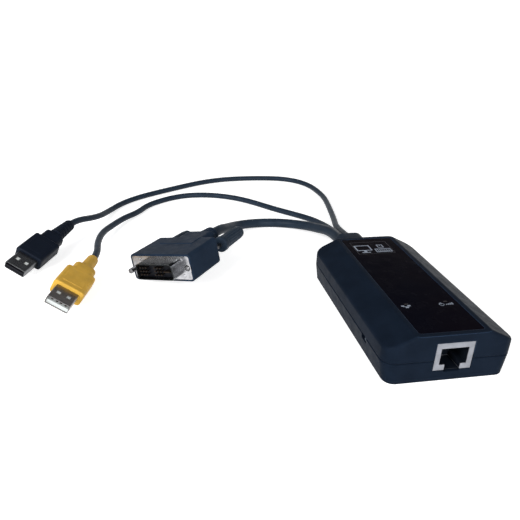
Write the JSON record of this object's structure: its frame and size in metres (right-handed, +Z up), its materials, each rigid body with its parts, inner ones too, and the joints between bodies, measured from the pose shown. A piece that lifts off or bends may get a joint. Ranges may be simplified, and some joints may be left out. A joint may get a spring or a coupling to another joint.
{
  "type": "kvm dongle",
  "caption": "Server adapter for a keyboard, video and mouse switch: flat two-shell housing with a network socket, and attached cords to a DVI plug and two USB plugs.",
  "frame": {"origin": "under the middle of the housing, on the surface that it lies on", "axes": "+Z up, +Y from the network socket end towards the cords, +X to the right seen from the socket end"},
  "size_m": [0.2239, 0.2765, 0.0229],
  "materials": {
    "board_laminate": "green solder mask",
    "can_metal": "satin cans",
    "chip_black": "moulded epoxy",
    "chip_ceramic": "tan ceramic",
    "clip_steel": "spring steel",
    "cord_jacket": "satin jacket",
    "core_black": "black plastic",
    "core_ivory": "pale plastic",
    "ferrite": "grey ferrite",
    "gold": "gold flash",
    "grommet_rubber": "matte soft moulding",
    "header_white": "off-white nylon",
    "housing_plastic": "fine grained dark blue-black plastic",
    "knob_plastic": "black plastic",
    "label_film": "glossy near-black film",
    "lamp_clear": "clear resin",
    "pipe_clear": "clear acrylic",
    "plug_moulding": "fine grained soft plastic",
    "screw_dark": "dark plastic knob on a steel shank",
    "screw_steel": "dark zinc plate",
    "shield_metal": "nickel-plated sheet",
    "socket_plastic": "black glass-filled plastic",
    "wire_insulation": "coloured wire insulation",
    "yellow_moulding": "yellow soft plastic"
  },
  "bodies": {
    "housing": {"black_usb_contacts": "gold", "black_usb_cord": "cord_jacket", "black_usb_core": "core_black", "black_usb_plug": "plug_moulding", "black_usb_shell": "shield_metal", "black_usb_wires": "wire_insulation", "bottom_cover": "housing_plastic", "cable_grommet": "grommet_rubber", "capacitors": "can_metal", "cover_screws": "screw_steel", "crystals": "can_metal", "dvi_blade": "gold", "dvi_cord": "cord_jacket", "dvi_core": "core_black", "dvi_hood": "plug_moulding", "dvi_pins": "gold", "dvi_shell": "shield_metal", "dvi_wires": "wire_insulation", "lan_transformer": "chip_black", "light_pipes": "pipe_clear", "link_lamp": "lamp_clear", "main_board": "board_laminate", "main_chip": "chip_black", "memory_chips": "chip_black", "power_coils": "ferrite", "power_lamp": "lamp_clear", "regulator": "chip_black", "small_parts": "chip_ceramic", "socket_contacts": "gold", "socket_insulator": "socket_plastic", "socket_shield": "shield_metal", "switch_body": "socket_plastic", "top_cover": "housing_plastic", "top_label": "label_film", "wire_headers": "header_white", "wire_plugs": "header_white", "yellow_usb_contacts": "gold", "yellow_usb_cord": "cord_jacket", "yellow_usb_core": "core_ivory", "yellow_usb_plug": "yellow_moulding", "yellow_usb_shell": "shield_metal", "yellow_usb_wires": "wire_insulation"},
    "switch_slider": {"switch_knob": "knob_plastic"},
    "left_clip": {"left_screw_clip": "clip_steel"},
    "left_screw": {"left_thumbscrew": "screw_dark"},
    "right_clip": {"right_screw_clip": "clip_steel"},
    "right_screw": {"right_thumbscrew": "screw_dark"}
  },
  "joints": [
    {"name": "switch_slide", "type": "slide", "parent": "housing", "child": "switch_slider", "axis": [0, 1, 0], "range_m": [0, 0.002]},
    {"name": "left_clip_slide", "type": "slide", "parent": "housing", "child": "left_clip", "axis": [0.6074, 0.7944, 0], "range_m": [0, 0.0056]},
    {"name": "left_screw_spin", "type": "hinge", "parent": "left_clip", "child": "left_screw", "pos_m": [-0.12387, 0.05594, 0.0077], "axis": [0.6074, 0.7944, 0], "continuous": true},
    {"name": "right_clip_slide", "type": "slide", "parent": "housing", "child": "right_clip", "axis": [0.6074, 0.7944, 0], "range_m": [-0.0056, 0]},
    {"name": "right_screw_spin", "type": "hinge", "parent": "right_clip", "child": "right_screw", "pos_m": [-0.09471, 0.04069, 0.0153], "axis": [0.6074, 0.7944, 0], "continuous": true}
  ]
}
